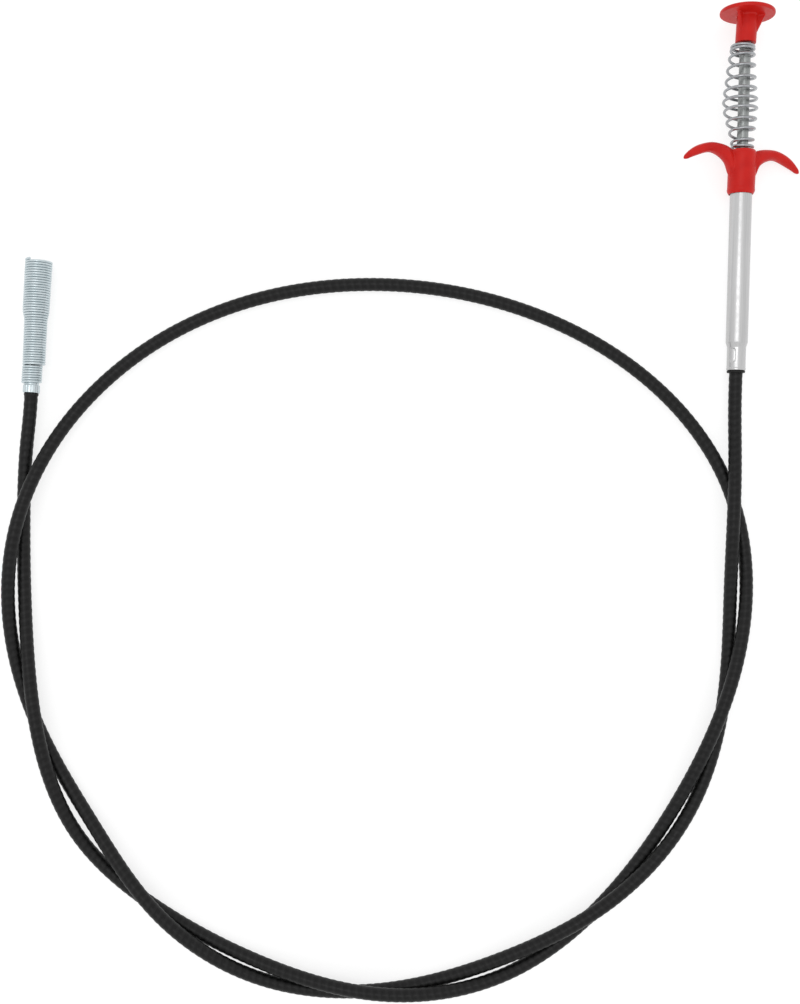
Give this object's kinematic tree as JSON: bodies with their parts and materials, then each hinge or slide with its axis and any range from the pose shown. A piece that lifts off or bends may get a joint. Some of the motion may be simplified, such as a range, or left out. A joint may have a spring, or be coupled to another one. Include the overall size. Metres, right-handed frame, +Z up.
{
  "type": "drain auger",
  "caption": "Hand-operated drain auger: thumb plunger with an exposed return spring, finger grip, long flexible hose in a twisted loop and a coil-spring head that hides sprung claws.",
  "frame": {"origin": "on the surface it lies on, under the middle of the handle (button, spring, grip and tube)", "axes": "+Y along the handle towards the thumb button, +Z up from the surface, +X to the right wing's side"},
  "size_m": [0.3652, 0.4512, 0.0248],
  "materials": {
    "red_plastic": "injection-moulded red plastic, half gloss",
    "steel": "bright drawn steel",
    "spring_steel": "drawn spring wire",
    "aluminium": "drawn satin tube",
    "zinc_plate": "bluish zinc plate",
    "black_sheath": "black ribbed sheath, half gloss",
    "black_plastic": "black moulded bush"
  },
  "bodies": {
    "barrel": {"finger_grip": "red_plastic", "handle_tube": "aluminium", "return_spring": "spring_steel", "cable_handle_end": "steel", "hose_bush": "black_plastic", "hose_ferrule": "steel", "liner_handle_end": "steel", "hose": "black_sheath", "liner_tip_end": "steel", "tip_ferrule": "zinc_plate", "claw_sleeve": "zinc_plate"},
    "plunger": {"thumb_button": "red_plastic", "plunger_rod": "steel", "cable_crimp": "steel"},
    "claw_carrier": {"cable_tip_end": "steel", "claw_hub": "steel"},
    "claw_a": {"claw_1": "spring_steel"},
    "claw_b": {"claw_2": "spring_steel"},
    "claw_c": {"claw_3": "spring_steel"},
    "claw_d": {"claw_4": "spring_steel"}
  },
  "joints": [
    {"name": "plunger_slide", "type": "slide", "parent": "barrel", "child": "plunger", "axis": [-0.0139, -0.9985, -0.0523], "range_m": [0, 0.025], "stiffness_N_per_m": 400, "springref_m": -0.0075, "deforming": ["return_spring", "cable_handle_end"]},
    {"name": "claw_slide", "type": "slide", "parent": "barrel", "child": "claw_carrier", "axis": [0.0593, 0.9982, 0], "range_m": [0, 0.025]},
    {"name": "claw_hinge_a", "type": "hinge", "parent": "claw_carrier", "child": "claw_a", "pos_m": [-0.32124, -0.05911, 0.00535], "axis": [-0.7059, 0.0419, -0.7071], "range_deg": [0, 17.6]},
    {"name": "claw_hinge_b", "type": "hinge", "parent": "claw_carrier", "child": "claw_b", "pos_m": [-0.32294, -0.05901, 0.00535], "axis": [-0.7059, 0.0419, 0.7071], "range_deg": [0, 17.6]},
    {"name": "claw_hinge_c", "type": "hinge", "parent": "claw_carrier", "child": "claw_c", "pos_m": [-0.32294, -0.05901, 0.00705], "axis": [0.7059, -0.0419, 0.7071], "range_deg": [0, 17.6]},
    {"name": "claw_hinge_d", "type": "hinge", "parent": "claw_carrier", "child": "claw_d", "pos_m": [-0.32124, -0.05911, 0.00705], "axis": [0.7059, -0.0419, -0.7071], "range_deg": [0, 17.6]}
  ],
  "couplings": [
    {"joint": "claw_slide", "follows": "plunger_slide", "ratio": 1},
    {"joint": "claw_hinge_a", "follows": "plunger_slide", "rad_per_m": 12.217},
    {"joint": "claw_hinge_b", "follows": "plunger_slide", "rad_per_m": 12.217},
    {"joint": "claw_hinge_c", "follows": "plunger_slide", "rad_per_m": 12.217},
    {"joint": "claw_hinge_d", "follows": "plunger_slide", "rad_per_m": 12.217}
  ]
}
